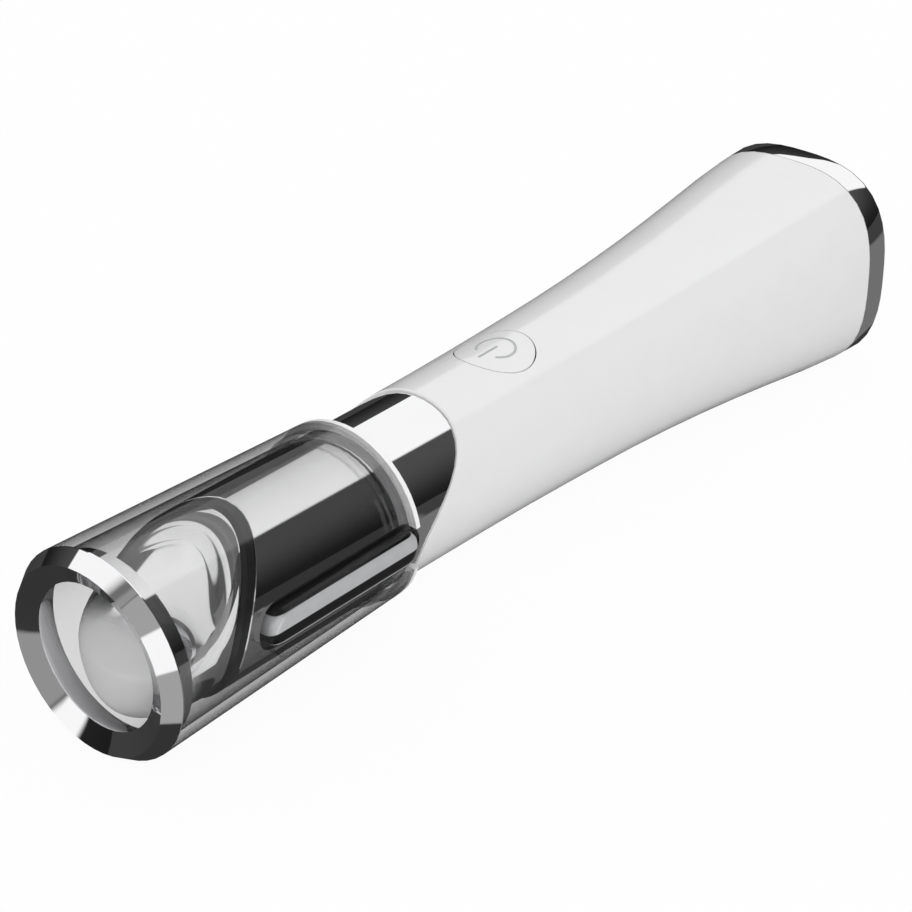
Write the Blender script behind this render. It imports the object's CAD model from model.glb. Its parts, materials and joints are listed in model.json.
# %% [markdown]
# # A heated eye massager wand
#
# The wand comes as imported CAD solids, at their real size and place. This lesson gives each solid its finish,
# works the mirror-bright massage head out again on a finer grid, prints the power symbol on the button, and
# sets up a white studio with a camera. Lengths are in metres: the wand lies along Y with its cap towards -Y,
# and the power button is on top, towards +Z.

# %% Load the frame
import json
import math

import bpy
import numpy as np
from mathutils import Matrix, Vector


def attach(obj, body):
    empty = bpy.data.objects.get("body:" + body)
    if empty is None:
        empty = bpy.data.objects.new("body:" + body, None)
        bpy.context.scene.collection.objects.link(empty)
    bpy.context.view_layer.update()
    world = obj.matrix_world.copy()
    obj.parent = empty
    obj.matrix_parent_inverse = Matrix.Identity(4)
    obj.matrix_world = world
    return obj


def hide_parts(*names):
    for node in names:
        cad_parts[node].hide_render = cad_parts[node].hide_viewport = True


MM = 0.001
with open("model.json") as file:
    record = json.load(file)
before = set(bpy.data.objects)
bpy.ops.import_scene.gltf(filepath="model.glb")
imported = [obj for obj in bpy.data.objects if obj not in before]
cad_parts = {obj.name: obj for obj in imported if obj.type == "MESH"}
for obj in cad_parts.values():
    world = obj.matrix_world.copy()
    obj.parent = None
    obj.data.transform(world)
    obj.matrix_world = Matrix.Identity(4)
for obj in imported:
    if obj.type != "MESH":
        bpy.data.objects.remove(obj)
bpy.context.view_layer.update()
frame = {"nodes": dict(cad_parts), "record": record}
nodes = frame["nodes"]

# %% [markdown]
# ## The camera
#
# A product shot like this one is taken with a long lens, so that the near end of the wand isn't much larger
# than the far end. A constraint could aim the camera at a point. Here its matrix is built from three
# directions, right, up and back, because then two angles say how it stands. A camera looks along its own -Z,
# and this one is level, so right has no height.

# %% Camera
AZIMUTH = math.radians(40.17)
ELEVATION = math.radians(29.73)
CAMERA_PLACE = Vector((0.15611, -0.19160, 0.13704))
LENS_MM = 98.7
SENSOR_MM = 36.0

back = Vector(
    (
        math.sin(AZIMUTH) * math.cos(ELEVATION),
        -math.cos(AZIMUTH) * math.cos(ELEVATION),
        math.sin(ELEVATION),
    )
)
right = Vector((math.cos(AZIMUTH), math.sin(AZIMUTH), 0.0))
up = back.cross(right)

camera_data = bpy.data.cameras.new("camera")
camera_data.lens = LENS_MM
camera_data.sensor_width = SENSOR_MM
camera_data.clip_start = 0.01
camera_data.clip_end = 20.0
camera = bpy.data.objects.new("camera", camera_data)
turn = Matrix((right, up, back)).transposed().to_4x4()
camera.matrix_world = Matrix.Translation(CAMERA_PLACE) @ turn
bpy.context.scene.collection.objects.link(camera)
bpy.context.scene.camera = camera
print("camera stands at", tuple(round(v, 3) for v in CAMERA_PLACE))

# %% [markdown]
# ## Helpers for node trees
#
# A material is a small graph of nodes, which could be wired by hand in the shader editor. The first helper
# adds one node, sets its inputs by name or by number, and joins an input to another node's output when the
# value given is a socket. The others are the few formulas that this scene needs again and again, so that a
# graph reads like a sum.


# %% Helpers for nodes
def add_node(tree, kind, props=None, **inputs):
    """Adds a node of one kind. props sets its own settings, and inputs its sockets: a socket is linked."""
    node = tree.nodes.new(kind)
    for key, value in (props or {}).items():
        setattr(node, key, value)
    for key, value in inputs.items():
        socket = node.inputs[int(key[1:])] if key[0] == "i" and key[1:].isdigit() else node.inputs[key]
        if isinstance(value, bpy.types.NodeSocket):
            tree.links.new(value, socket)
        else:
            socket.default_value = value
    return node


def math_node(tree, operation, first, second=0.0):
    """One Math node on two values, which may be numbers or sockets."""
    return add_node(tree, "ShaderNodeMath", {"operation": operation}, i0=first, i1=second).outputs[0]


def line_node(tree, value, factor, offset):
    """A straight line: value times factor, plus offset."""
    props = {"operation": "MULTIPLY_ADD"}
    return add_node(tree, "ShaderNodeMath", props, i0=value, i1=factor, i2=offset).outputs[0]


def choice_node(tree, share, first, second):
    """A mix of two numbers: the first where share is 0, the second where it is 1."""
    return add_node(tree, "ShaderNodeMix", None, i0=share, i2=first, i3=second).outputs[0]


def step_node(tree, value, low, high, from_value=0.0, to_value=1.0):
    """A smooth step: from_value below low, to_value above high, and an S-curve between them."""
    props = {"interpolation_type": "SMOOTHSTEP"}
    inputs = {"i0": value, "i1": low, "i2": high, "i3": from_value, "i4": to_value}
    return add_node(tree, "ShaderNodeMapRange", props, **inputs).outputs[0]


def window_node(tree, value, low, high, soft):
    """1 where a value is between two limits and 0 elsewhere, with an S-curve of half-width soft at each."""
    rising = step_node(tree, value, low - soft, low + soft)
    falling = step_node(tree, value, high - soft, high + soft, 1.0, 0.0)
    return math_node(tree, "MULTIPLY", rising, falling)


def scaled_colour(tree, colour, factor):
    """A colour times a number."""
    props = {"operation": "SCALE"}
    return add_node(tree, "ShaderNodeVectorMath", props, i0=colour, Scale=factor).outputs[0]


print("helpers ready")

# %% [markdown]
# ## The studio
#
# Polished metal has no colour of its own: it shows the room. The bands along the neck are soft lights above
# the wand, a dark room round it and a grey table under it, and the steps of tone round the cap's front ring
# are standing panels on the right and in front. Area lamps could make such bands, but they would light the
# white handle too. So the world is the room. What a reflection sees depends on its direction alone, each
# light is a window in direction space, with soft edges, and the brightest window wins. Everything matt gets
# an even light instead, a little stronger from the right, and the camera sees white.

# %% Studio
OVERHEADS = (
    {"name": "above the neck", "across": (-1.48, 0.40), "along": (0.62, 3.2), "level": 1.0},
    {"name": "above the cap", "across": (-1.48, 0.40), "along": (-0.57, -0.30), "level": 1.0},
    {"name": "ceiling between", "across": (-1.48, 0.40), "along": (-0.75, 0.62), "level": 0.16},
)
PANELS = (
    {"name": "right", "azimuth": (-24, 29), "elevation": (-40, 33), "level": 1.0},
    {"name": "front right", "azimuth": (-84, -24), "elevation": (-9, 28), "level": 1.0},
    {"name": "front right, low", "azimuth": (-82, -38), "elevation": (-24, 0), "level": 1.0},
    {"name": "front", "azimuth": (-117, -66), "elevation": (5, 50), "level": 1.0},
    {"name": "front left", "azimuth": (-152, -115), "elevation": (9, 45), "level": 1.0},
    {"name": "front strip", "azimuth": (-118, -102), "elevation": (-14, 16), "level": 1.0},
    {"name": "right glow", "azimuth": (-66, -12), "elevation": (-60, 58), "level": 0.37},
    {"name": "front glow", "azimuth": (-101, -66), "elevation": (-30, 58), "level": 0.3},
    {"name": "table glow", "azimuth": (-62, 100), "elevation": (-58, -12), "level": 0.17},
)
OVERHEAD_EDGE = 0.04
PANEL_EDGE = math.radians(2.0)
HORIZON_EDGE = 0.002

world = bpy.data.worlds.new("studio")
bpy.context.scene.world = world
world.use_nodes = True
tree = world.node_tree
tree.nodes.clear()

direction = add_node(tree, "ShaderNodeTexCoord").outputs["Generated"]
split = add_node(tree, "ShaderNodeSeparateXYZ", None, i0=direction)
rise = split.outputs["Z"]
above = step_node(tree, rise, -HORIZON_EDGE, HORIZON_EDGE)
print("lights:", len(OVERHEADS), "overhead,", len(PANELS), "standing")

# %% [markdown]
# The lights above are flat rectangles, so their edges are straight lines in x / z and y / z of the direction.
# The panels stand round the wand, so theirs are lines of azimuth and elevation. Painting them with two
# formulas keeps every edge straight in the neck's mirror, which an image of a room would blur.

# %% Lights that reflections see
LEAST_RISE = 0.0001


def with_light(tree, so_far, first, second, level):
    """The brighter of what is seen so far and a light, which shines where both of its windows are open."""
    shape = math_node(tree, "MULTIPLY", first, second)
    shape = math_node(tree, "MULTIPLY", shape, level)
    return math_node(tree, "MAXIMUM", so_far, shape)


lift = math_node(tree, "MAXIMUM", rise, LEAST_RISE)
across = math_node(tree, "DIVIDE", split.outputs["X"], lift)
along = math_node(tree, "DIVIDE", split.outputs["Y"], lift)
mirrored = 0.0
for light in OVERHEADS:
    first = window_node(tree, across, *light["across"], OVERHEAD_EDGE)
    second = window_node(tree, along, *light["along"], OVERHEAD_EDGE)
    mirrored = with_light(tree, mirrored, first, second, light["level"])
mirrored = math_node(tree, "MULTIPLY", mirrored, above)

azimuth = math_node(tree, "ARCTAN2", split.outputs["Y"], split.outputs["X"])
elevation = math_node(tree, "ARCSINE", rise)
for panel in PANELS:
    first = window_node(tree, azimuth, *map(math.radians, panel["azimuth"]), PANEL_EDGE)
    second = window_node(tree, elevation, *map(math.radians, panel["elevation"]), PANEL_EDGE)
    mirrored = with_light(tree, mirrored, first, second, panel["level"])
print("nodes in the world:", len(tree.nodes))

# %% [markdown]
# Where no light stands, a reflection sees the room, which brightens upwards from the horizon, or the table,
# which is a little darker close under the wand. Both are smooth steps of the direction's height.

# %% Room and table in the mirror
ROOM_LOW, ROOM_HIGH = 0.012, 0.072
ROOM_BRIGHTEST = 0.65
TABLE_FAR, TABLE_NEAR = 0.05, 0.035
TABLE_DARKEST = -0.8

room = step_node(tree, rise, 0.0, ROOM_BRIGHTEST, ROOM_LOW, ROOM_HIGH)
table = step_node(tree, rise, 0.0, TABLE_DARKEST, TABLE_FAR, TABLE_NEAR)
unlit = choice_node(tree, above, table, room)
mirrored = math_node(tree, "MAXIMUM", unlit, mirrored)
print("room:", ROOM_LOW, "to", ROOM_HIGH, "table:", TABLE_NEAR, "to", TABLE_FAR)

# %% [markdown]
# A Light Path node tells the kind of ray that asks: a mirrored ray sees the room above, a matt surface the
# even light, and the camera and what is seen through clear plastic plain white. One world can thus be a
# dark studio for chrome and a bright tent for plastic, as a photographer builds with black cards.

# %% Light for matt surfaces
MATT_LIGHT = 0.93
MATT_SIDE = 0.14
MATT_FROM = Vector((0.85, -0.45, 0.0))


def seen_node(tree, rays):
    """1 for the camera's rays and for those that go on through clear plastic, and 0 for all others."""
    return math_node(tree, "MAXIMUM", rays.outputs["Is Camera Ray"], rays.outputs["Is Transmission Ray"])


props = {"operation": "DOT_PRODUCT"}
side = add_node(tree, "ShaderNodeVectorMath", props, i0=direction, i1=MATT_FROM).outputs["Value"]
matt = line_node(tree, side, MATT_SIDE, MATT_LIGHT)
rays = add_node(tree, "ShaderNodeLightPath")
level = choice_node(tree, rays.outputs["Is Glossy Ray"], matt, mirrored)
level = choice_node(tree, seen_node(tree, rays), level, 1.0)
background = add_node(tree, "ShaderNodeBackground", None, Color=(1, 1, 1, 1), Strength=level)
output = add_node(tree, "ShaderNodeOutputWorld")
tree.links.new(background.outputs[0], output.inputs[0])
bpy.context.scene.view_settings.view_transform = "Standard"
print("matt light:", MATT_LIGHT, "and", MATT_SIDE, "more or less from the side")

# %% [markdown]
# ## The table
#
# The wand lies on a white table. It touches with the edge of its cap and with its tail, and as the tail is
# thicker, the table's plane tilts a little against the wand's axis. A bent backdrop could hide the horizon,
# but here the table is one large square, because the camera sees it white all over.

# %% Table
CAP_TOUCH = (-0.0602, -0.0115)
TAIL_TOUCH = (0.0600, -0.0136)
TABLE_GAP = 0.1 * MM
FLOOR_REACH = 3.0

slope = (TAIL_TOUCH[1] - CAP_TOUCH[1]) / (TAIL_TOUCH[0] - CAP_TOUCH[0])
square = (
    (-FLOOR_REACH, -FLOOR_REACH),
    (FLOOR_REACH, -FLOOR_REACH),
    (FLOOR_REACH, FLOOR_REACH),
    (-FLOOR_REACH, FLOOR_REACH),
)
corners = [(x, y, CAP_TOUCH[1] + slope * (y - CAP_TOUCH[0]) - TABLE_GAP) for x, y in square]
floor_mesh = bpy.data.meshes.new("table")
floor_mesh.from_pydata(corners, [], [(0, 1, 2, 3)])
floor = bpy.data.objects.new("table", floor_mesh)
bpy.context.scene.collection.objects.link(floor)
floor.visible_glossy = False
print("table slope:", round(math.degrees(math.atan(slope)), 2), "degrees")

# %% [markdown]
# A white surface that catches a shadow is never quite white in a picture. The table's paint is therefore
# mixed with a plain white glow that only the camera sees, so the ground is white and a faint shadow stays.

# %% White of the table
GLOW_SHARE = 0.95
PAINT = (0.92, 0.92, 0.92, 1)


def white_table():
    """A mix of glow and paint: the glow has its share for the camera, and none for the light on the wand."""
    material = bpy.data.materials.new("white_table")
    material.use_nodes = True
    tree = material.node_tree
    tree.nodes.clear()
    rays = add_node(tree, "ShaderNodeLightPath")
    share = math_node(tree, "MULTIPLY", seen_node(tree, rays), GLOW_SHARE)
    glow = add_node(tree, "ShaderNodeEmission", None, Color=(1, 1, 1, 1), Strength=1.0)
    paint = add_node(tree, "ShaderNodeBsdfDiffuse", None, Color=PAINT)
    mixed = add_node(tree, "ShaderNodeMixShader", None, i0=share, i1=paint.outputs[0], i2=glow.outputs[0])
    output = add_node(tree, "ShaderNodeOutputMaterial")
    tree.links.new(mixed.outputs[0], output.inputs[0])
    return material


floor.data.materials.append(white_table())
print("table glow:", GLOW_SHARE)

# %% [markdown]
# ## Finishes
#
# No moulded or plated surface is perfectly even. Each finish is a Principled material with a little life in
# it: a fine noise that shifts the colour and the roughness, and a slight bump where the real surface isn't
# smooth. A photograph of the surface could do this too, but noise in object coordinates has no seams and
# needs no file.

# %% Finish helper
NOISE_LOW, NOISE_HIGH = 0.3, 0.7
BUMP_HEIGHT = 0.02 * MM


def finish(name, colour, roughness, metallic=0.0, grain=1500.0, shift=0.04, bump=0.0, coat=0.0):
    """A Principled material. Noise of a grain size, in waves per metre, shifts the colour and the roughness
    up and down by a share, and bump is the strength of its relief."""
    material = bpy.data.materials.new(name)
    material.use_nodes = True
    tree = material.node_tree
    surface = tree.nodes["Principled BSDF"]
    place = add_node(tree, "ShaderNodeTexCoord").outputs["Object"]
    noise = add_node(tree, "ShaderNodeTexNoise", None, Vector=place, Scale=grain, Detail=3.0).outputs["Fac"]
    tone = step_node(tree, noise, NOISE_LOW, NOISE_HIGH, 1.0 - shift, 1.0 + shift)
    tree.links.new(scaled_colour(tree, colour, tone), surface.inputs["Base Color"])
    tree.links.new(math_node(tree, "MULTIPLY", tone, roughness), surface.inputs["Roughness"])
    surface.inputs["Metallic"].default_value = metallic
    surface.inputs["Coat Weight"].default_value = coat
    if bump:
        relief = add_node(tree, "ShaderNodeBump", None, Strength=bump, Distance=BUMP_HEIGHT, Height=noise)
        tree.links.new(relief.outputs[0], surface.inputs["Normal"])
    return material


print("noise between", NOISE_LOW, "and", NOISE_HIGH)

# %% [markdown]
# The rings, the neck and the head are chromed: nearly white, fully metallic, and as smooth as a mirror. The
# ring behind the head is a dull black plastic. The handle is glossy white plastic under a thin clear coat,
# with the faint waves of a moulding. The bar in the neck is matt steel, and only partly metallic here, so
# that it also takes the even light. The symbol on the button is printed in dull grey.

# %% Finishes that show
OUTER_FINISHES = {
    "bright_plating": dict(colour=(0.92, 0.92, 0.93), roughness=0.035, metallic=1.0, grain=120, shift=0.01),
    "head_plating": dict(colour=(0.93, 0.93, 0.94), roughness=0.045, metallic=1.0, grain=120, shift=0.01),
    "dark_ring": dict(colour=(0.012, 0.012, 0.013), roughness=0.3, grain=900, shift=0.05),
    "white_plastic": dict(
        colour=(0.86, 0.86, 0.862), roughness=0.16, grain=260, shift=0.006, bump=0.05, coat=0.3
    ),
    "bar_steel": dict(colour=(0.66, 0.67, 0.68), roughness=0.3, metallic=0.35, grain=400, shift=0.03),
    "grey_plastic": dict(colour=(0.5, 0.51, 0.52), roughness=0.45, grain=3000, bump=0.2),
}
finishes = {name: finish(name, **values) for name, values in OUTER_FINISHES.items()}
print("finishes that show:", len(finishes))

# %% [markdown]
# The closed wand hides its heater, motor, board and cell. They still get the finish of what they are made
# of, because the parts may be shown apart: rubber, steel, aluminium, ceramic, resin, board, cell wrap,
# brass, magnet and wire.

# %% Finishes of the inner pieces
INNER_FINISHES = {
    "black_rubber": dict(colour=(0.02, 0.02, 0.021), roughness=0.6, grain=2500, shift=0.1, bump=0.3),
    "steel": dict(colour=(0.58, 0.59, 0.6), roughness=0.3, metallic=1.0, grain=1800, shift=0.05, bump=0.1),
    "aluminium": dict(
        colour=(0.75, 0.76, 0.77), roughness=0.35, metallic=1.0, grain=1800, shift=0.05, bump=0.1
    ),
    "ceramic": dict(colour=(0.85, 0.83, 0.78), roughness=0.5, grain=3000, shift=0.05, bump=0.2),
    "black_resin": dict(colour=(0.015, 0.015, 0.017), roughness=0.45, grain=4000, shift=0.15, bump=0.2),
    "board_green": dict(colour=(0.02, 0.16, 0.05), roughness=0.35, grain=1200, shift=0.12, bump=0.1),
    "cell_wrap": dict(colour=(0.03, 0.12, 0.4), roughness=0.25, grain=800, shift=0.05, bump=0.05),
    "brass": dict(colour=(0.62, 0.45, 0.16), roughness=0.3, metallic=1.0, grain=1800, shift=0.06, bump=0.1),
    "magnet": dict(colour=(0.05, 0.05, 0.055), roughness=0.6, metallic=0.3, grain=3000, shift=0.15, bump=0.3),
    "red_wire": dict(colour=(0.45, 0.02, 0.015), roughness=0.4, grain=2500, shift=0.05, bump=0.1),
    "black_wire": dict(colour=(0.02, 0.02, 0.02), roughness=0.4, grain=2500, shift=0.05, bump=0.1),
}
finishes |= {name: finish(name, **values) for name, values in INNER_FINISHES.items()}
print("finishes so far:", len(finishes))

# %% [markdown]
# The cap's tube is smoked clear plastic, and its window is clear. Glass that bends light would be the
# fuller model, but a wall of one millimetre hardly bends it, and bent light needs many samples to lose its
# noise. So each face is a thin film: it mirrors a share that grows fast with the slant, and lets the rest
# go straight on.

# %% See-through finishes
MIRRORED_STRAIGHT = 0.04
SLANT_POWER = 5.0
SLANT_FROM, SLANT_TO = 0.1, 1.0


def see_through(name, straight, slanted):
    """A film of polished clear plastic. It mirrors 4% seen straight on and all of it at the outline: 0.04
    plus 0.96 times the fifth power of how far it is turned away. The rest passes, tinted from straight to
    slanted, because a slanting view crosses more of the wall."""
    material = finish(name, colour=(0.95, 0.95, 0.95), roughness=0.02, metallic=1.0, grain=200, shift=0.01)
    tree = material.node_tree
    turned = add_node(tree, "ShaderNodeLayerWeight", None, Blend=0.5).outputs["Facing"]
    steep = math_node(tree, "POWER", turned, SLANT_POWER)
    mirror = line_node(tree, steep, 1 - MIRRORED_STRAIGHT, MIRRORED_STRAIGHT)
    passed = step_node(tree, turned, SLANT_FROM, SLANT_TO, straight, slanted)
    film = add_node(tree, "ShaderNodeBsdfTransparent", None, Color=passed)
    gloss = tree.nodes["Principled BSDF"].outputs[0]
    mixed = add_node(tree, "ShaderNodeMixShader", None, i0=mirror, i1=film.outputs[0], i2=gloss)
    tree.links.new(mixed.outputs[0], tree.nodes["Material Output"].inputs["Surface"])
    return material


finishes["smoked_plastic"] = see_through("smoked_plastic", straight=0.965, slanted=0.62)
finishes["clear_window"] = see_through("clear_window", straight=0.98, slanted=0.9)
print("finishes:", len(finishes))

# %% [markdown]
# ## Finishes of two parts
#
# Three solids change their finish along their length or height. Each could be cut into two solids, but the
# real ones are one piece, so one object coordinate chooses between the finishes instead. The lip at the cap's
# mouth comes first: it is a satin white rim, and its spigot, inside the tube, is as clear as the tube.


# %% Lip
def coordinate(tree, axis):
    """One object coordinate as a socket."""
    place = add_node(tree, "ShaderNodeTexCoord").outputs["Object"]
    return add_node(tree, "ShaderNodeSeparateXYZ", None, i0=place).outputs[axis]


RIM_START = -25.15 * MM
RIM_EDGE = 0.02 * MM
RIM_WHITE = (0.97, 0.97, 0.975, 1.0)
RIM_ROUGHNESS = 0.25

lip = see_through("lip_rim_and_spigot", straight=0.97, slanted=0.85)
tree = lip.node_tree
rim = add_node(tree, "ShaderNodeBsdfPrincipled", None, Roughness=RIM_ROUGHNESS)
rim.inputs["Base Color"].default_value = RIM_WHITE
on_rim = step_node(tree, coordinate(tree, "Y"), RIM_START - RIM_EDGE, RIM_START + RIM_EDGE)
surface = tree.nodes["Material Output"].inputs["Surface"]
clear = surface.links[0].from_socket
mixed = add_node(tree, "ShaderNodeMixShader", None, i0=on_rim, i1=clear, i2=rim.outputs[0])
tree.links.new(mixed.outputs[0], surface)
print("rim starts at", round(RIM_START / MM, 2), "mm")

# %% [markdown]
# The bar in the neck is polished along its upper half and blackened along its lower half, with a fine bright
# line where the blackening ends. Two windows of height are bright, and all else keeps one percent of the
# steel's colour.

# %% Bar
POLISH_LOW, POLISH_HIGH = -0.65 * MM, 1.2 * MM
LINE_LOW, LINE_HIGH = -2.15 * MM, -1.95 * MM
BAR_EDGE = 0.05 * MM
BLACKENED = 0.01

tree = finishes["bar_steel"].node_tree
height = coordinate(tree, "Z")
upper = window_node(tree, height, POLISH_LOW, POLISH_HIGH, BAR_EDGE)
line = window_node(tree, height, LINE_LOW, LINE_HIGH, BAR_EDGE)
bright = math_node(tree, "MAXIMUM", upper, line)
shade = line_node(tree, bright, 1 - BLACKENED, BLACKENED)
base = tree.nodes["Principled BSDF"].inputs["Base Color"]
silver = base.links[0].from_socket
tree.links.new(scaled_colour(tree, silver, shade), base)
print("bar polished from", round(POLISH_LOW / MM, 2), "to", round(POLISH_HIGH / MM, 2), "mm")

# %% [markdown]
# The massage head is a mirror at its collar and turns to a pale satin at the nose, the end that touches the
# skin. Its roughness rises and its metal fades together between two stations.

# %% Nose of the head
NOSE_SATIN, NOSE_POLISHED = -57.5 * MM, -54.0 * MM
SATIN_ROUGHNESS = 0.42
SATIN_METAL = 0.08

tree = finishes["head_plating"].node_tree
surface = tree.nodes["Principled BSDF"]
polished = surface.inputs["Roughness"].links[0].from_socket
station = coordinate(tree, "Y")
satin = step_node(tree, station, NOSE_SATIN, NOSE_POLISHED, SATIN_ROUGHNESS, 0.0)
tree.links.new(math_node(tree, "MAXIMUM", polished, satin), surface.inputs["Roughness"])
metal = step_node(tree, station, NOSE_SATIN, NOSE_POLISHED, SATIN_METAL, 1.0)
tree.links.new(metal, surface.inputs["Metallic"])
print("nose satin from", round(NOSE_SATIN / MM, 2), "mm forwards")

# %% [markdown]
# ## Dress the solids
#
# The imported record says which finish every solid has, so the loop only looks it up. A CAD mesh comes as loose
# flat triangles, and remaking each as a smooth mesh would be much work for little gain. Three steps do it:
# a Weld modifier joins them, smooth shading rounds them off, and an Edge Split modifier keeps every real edge
# sharp.

# %% Dress the solids
WELD_REACH = 0.008 * MM
SHARP_ANGLE = math.radians(32)

for part in frame["record"]["subparts"]:
    solid = nodes[part["node"]]
    solid.data.materials.clear()
    solid.data.materials.append(finishes[part["material_slot"]])
    solid.data.shade_smooth()
    solid.modifiers.new("weld", "WELD").merge_threshold = WELD_REACH
    solid.modifiers.new("sharp_edges", "EDGE_SPLIT").split_angle = SHARP_ANGLE
nodes["cap_lip"].data.materials[0] = lip

# %% [markdown]
# New pieces need the same few lines each: an object at the origin, a finish, and the body that carries it.


# %% Helper for new pieces
def add_piece(name, mesh, body, slot):
    """A piece with its place in its mesh, the finish of a slot, and a body that it moves with."""
    piece = bpy.data.objects.new(name, mesh)
    bpy.context.scene.collection.objects.link(piece)
    mesh.materials.append(finishes[slot])
    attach(piece, body)
    return piece


# %% [markdown]
# ## The massage head
#
# The head is a mirror, and a mirror shows every flat facet of a coarse mesh as a kink in its reflections. So
# its form is worked out again here on a fine grid, as a surface of two parameters: share runs from the nose
# to the collar, and angle goes round from the top. Sculpting it would leave dents that a mirror shows. The
# form is a rounded dome, as wide as the neck, that a slanting face cuts off from the nose up to the collar,
# and the edge between the two is softly rounded.

# %% Edge and centre line of the head
NOSE_STATION = -59.8 * MM
NOSE_DROP = 4.2 * MM
HEAD_RADIUS = 8.8 * MM
HEAD_WALL = 0.9 * MM
EDGE_TOP, EDGE_BOTTOM = -43.8 * MM, -51.6 * MM
EDGE_SWEEP = 0.435
DOME_LENGTH = 7.5 * MM


def edge_station(angle):
    """Station of the head's rear edge: it sweeps back with the square of the height above its lowest part."""
    share = (np.maximum(0.0, np.cos(angle) + EDGE_SWEEP) / (1 + EDGE_SWEEP)) ** 2
    return EDGE_BOTTOM + (EDGE_TOP - EDGE_BOTTOM) * share


def dome(depth):
    """Centre height and radius of the dome's circle at a depth behind the nose: a quarter of an ellipse,
    whose centre rises from the nose to the wand's axis with the square of what is left of its length."""
    left = np.clip(1 - depth / DOME_LENGTH, 0.0, 1.0)
    return -NOSE_DROP * left**2, HEAD_RADIUS * np.sqrt(1 - left**2)


print("head edge, top and bottom:", edge_station(0.0), edge_station(math.pi))

# %% [markdown]
# Seen from the centre of its circle, each point of the skin is as far off as the dome or as the face,
# whichever is nearer. A soft minimum of the two distances, which adds them as high negative powers, rounds
# the edge. The same function with an inset gives the inner skin, so the head is a hollow shell.

# %% Skin of the head
FACE_FRONT = -2.2 * MM
FACE_REAR = 9.8 * MM
FACE_LENGTH = 16.0 * MM
FACE_CROWN = 26.0 * MM
EDGE_SHARPNESS = 7.0
RIM_SHARE = 0.15
NOSE_CROWDING = 1.8
INSET_LENGTH = 4 * HEAD_WALL
TINY = 1e-6


def soft_minimum(first, second):
    """The smaller of two lengths, with a rounded change between them: both are raised to the same high
    negative power, added, and brought back by the root of that power."""
    return (first**-EDGE_SHARPNESS + second**-EDGE_SHARPNESS) ** (-1 / EDGE_SHARPNESS)


def head_skin(inset, rows, columns):
    """Points on a grid of share and angle. Depth grows with a power of share, so rows crowd at the nose. The
    face lies at height = line(depth) - x squared / (2 crown), and its distance from the centre at an angle is
    the positive root of that equation. Over the last rows the radius blends into the neck's. An inset starts
    the skin further back, and also narrows it, fully so from four walls behind the nose."""
    nose = NOSE_STATION + inset
    share = np.linspace(0.0, 1.0, rows + 1)[1:, None]
    angle = np.linspace(0.0, 2 * math.pi, columns, endpoint=False)[None, :]
    depth = (edge_station(angle) - nose) * share**NOSE_CROWDING
    centre, to_dome = dome(depth)
    line = FACE_FRONT + (FACE_REAR - FACE_FRONT) * depth / FACE_LENGTH
    clear = line - centre
    bend = np.sqrt(np.cos(angle) ** 2 + 2 * clear * np.sin(angle) ** 2 / FACE_CROWN)
    to_face = 2 * clear / np.maximum(np.cos(angle) + bend, TINY)
    radius = soft_minimum(to_dome, to_face)
    near_edge = np.clip((share - 1 + RIM_SHARE) / RIM_SHARE, 0.0, 1.0)
    blend = near_edge**2 * (3 - 2 * near_edge)
    radius = radius + (HEAD_RADIUS - radius) * blend
    radius = radius - inset * np.minimum(1.0, depth / INSET_LENGTH)
    return np.stack((radius * np.sin(angle), nose + depth, centre + radius * np.cos(angle)), axis=-1)


print("face from", round(FACE_FRONT / MM, 1), "to", round(FACE_REAR / MM, 1), "mm high")

# %% [markdown]
# The outer rings run from the nose to the rear edge and the inner ones back to the nose, so one grid of
# four-sided faces covers both skins and the edge between them. A fan of triangles closes it at each pole.

# %% Shell of the head
OUTER_ROWS, INNER_ROWS = 96, 40
COLUMNS = 160


def closed_shell(name, skins, poles):
    """A mesh of rings of points, closed at both ends by a fan to a pole. The rings run from pole to pole."""
    rings = np.concatenate(skins)
    rows, columns = rings.shape[:2]
    points = np.vstack((rings.reshape(-1, 3), poles))
    row, column = np.meshgrid(np.arange(rows - 1), np.arange(columns), indexing="ij")
    here = row * columns + column
    beside = row * columns + (column + 1) % columns
    quads = np.stack((here, here + columns, beside + columns, beside), axis=-1)
    faces = quads.reshape(-1, 4).tolist()
    first = np.arange(columns)
    after = (first + 1) % columns
    pole = np.full(columns, rows * columns)
    last_row = (rows - 1) * columns
    faces += np.column_stack((pole, first, after)).tolist()
    faces += np.column_stack((pole + 1, last_row + after, last_row + first)).tolist()
    mesh = bpy.data.meshes.new(name)
    mesh.from_pydata(points.tolist(), [], faces)
    mesh.update()
    mesh.shade_smooth()
    return mesh


outer = head_skin(0.0, OUTER_ROWS, COLUMNS)
inner = head_skin(HEAD_WALL, INNER_ROWS, COLUMNS)[::-1]
nose_points = [
    (0.0, NOSE_STATION, -NOSE_DROP),
    (0.0, NOSE_STATION + HEAD_WALL, -NOSE_DROP),
]
shell = closed_shell("fine_massage_head", (outer, inner), nose_points)
head = add_piece("fine_massage_head", shell, "wand", "head_plating")
head.modifiers.new("sharp_edges", "EDGE_SPLIT").split_angle = SHARP_ANGLE
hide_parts("massage_head")

# %% [markdown]
# ## The power symbol
#
# The button carries a thin grey power symbol: an open ring and a short bar in its gap. It is a print a tenth
# of a millimetre thick, and a texture would do from afar, but a mesh keeps its edge crisp. Each stroke is a
# flat ribbon laid on the button's crown, which is part of the handle's: a cylinder that widens towards the
# tail. The ribbon's points get their height from that form, and their lower side sinks into the button a
# little, so that no gap shows.

# %% Button's crown
CROWN_AT_CENTRE = 9.77 * MM
CROWN_SLOPE = 0.0222


def crown_height(x, y):
    """Height of the button's surface: a circle across the wand, whose radius grows evenly to the tail."""
    radius = CROWN_AT_CENTRE + CROWN_SLOPE * y
    return np.sqrt(radius**2 - x**2)


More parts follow.
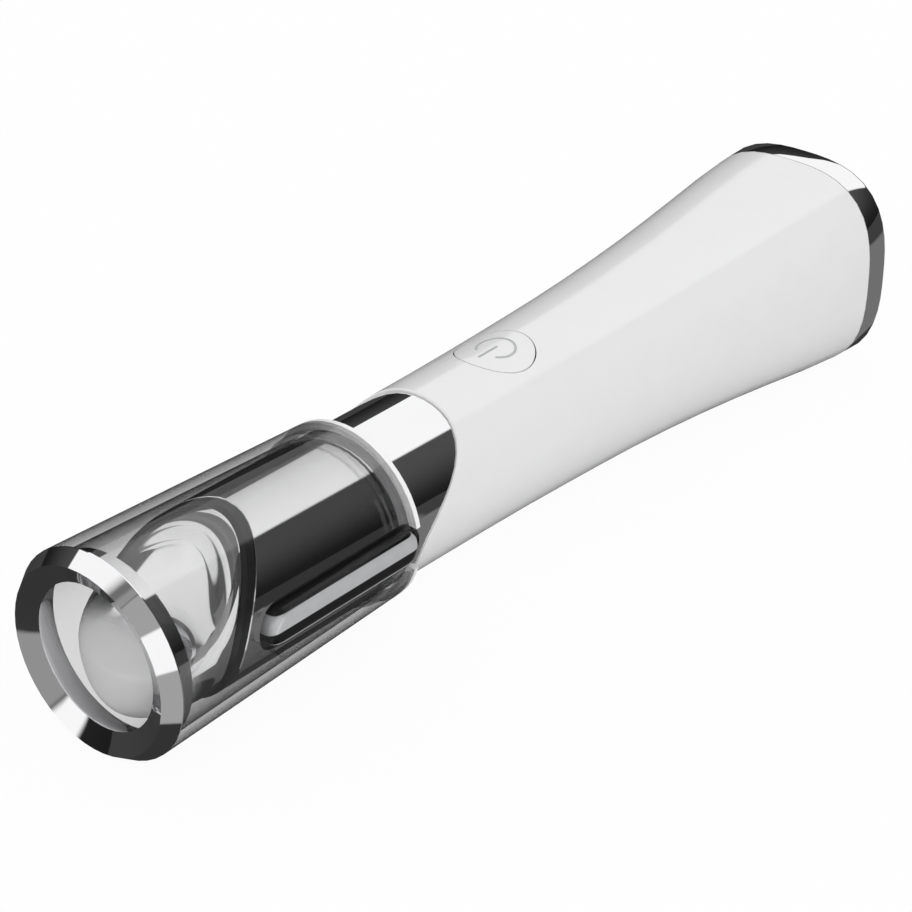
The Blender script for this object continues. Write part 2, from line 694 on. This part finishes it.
print("crown of the button:", round(float(crown_height(0.0, 0.0)) / MM, 2), "mm")

# %% [markdown]
# A stroke is a profile carried along a path: four corners at each point of its middle line. All corners are
# worked out as whole arrays, and every face joins two neighbouring profiles.

# %% Ribbon
STROKE = 0.26 * MM
PRINT_ABOVE = 0.05 * MM
PRINT_BELOW = 0.05 * MM


def ribbon(name, middle_x, middle_y, along_x, along_y):
    """A flat strip with a rectangular section: at each point of the middle line its edges lie half a stroke
    to the left and right, at right angles to the line, and its faces above and below the crown."""
    left = np.stack((middle_x - along_y * STROKE / 2, middle_y + along_x * STROKE / 2), axis=1)
    other = np.stack((middle_x + along_y * STROKE / 2, middle_y - along_x * STROKE / 2), axis=1)
    section = ((left, PRINT_ABOVE), (other, PRINT_ABOVE), (other, -PRINT_BELOW), (left, -PRINT_BELOW))
    lines = [np.column_stack((flat, crown_height(*flat.T) + lift)) for flat, lift in section]
    points = np.stack(lines, axis=1).reshape(-1, 3)
    count = len(middle_x)
    row, corner = np.meshgrid(np.arange(count - 1), np.arange(4), indexing="ij")
    here = row * 4 + corner
    beside = row * 4 + (corner + 1) % 4
    faces = np.stack((here, beside, beside + 4, here + 4), axis=-1).reshape(-1, 4).tolist()
    faces.append([3, 2, 1, 0])
    faces.append([4 * count - 4, 4 * count - 3, 4 * count - 2, 4 * count - 1])
    mesh = bpy.data.meshes.new(name)
    mesh.from_pydata(points.tolist(), [], faces)
    mesh.update()
    return add_piece(name, mesh, "button", "grey_plastic")


print("stroke:", round(STROKE / MM, 2), "mm wide")

# %% [markdown]
# The ring is a circle with a gap towards the cap, and the bar runs in through the gap to just past the
# ring's centre.

# %% Power symbol
SYMBOL_CENTRE_Y = 0.2 * MM
SYMBOL_RADIUS = 2.2 * MM
SYMBOL_GAP = math.radians(38)
RING_POINTS = 73
BAR_FROM, BAR_TO = -2.8 * MM, 0.4 * MM
BAR_POINTS = 9

angle = np.linspace(SYMBOL_GAP, 2 * math.pi - SYMBOL_GAP, RING_POINTS)
ring_x = SYMBOL_RADIUS * np.sin(angle)
ring_y = SYMBOL_CENTRE_Y - SYMBOL_RADIUS * np.cos(angle)
ring = ribbon("power_symbol_ring", ring_x, ring_y, np.cos(angle), np.sin(angle))

bar_y = np.linspace(BAR_FROM, BAR_TO, BAR_POINTS)
bar_x = np.zeros_like(bar_y)
bar_mark = ribbon("power_symbol_bar", bar_x, bar_y, bar_x, np.ones_like(bar_y))
print("symbol faces:", len(ring.data.polygons) + len(bar_mark.data.polygons))
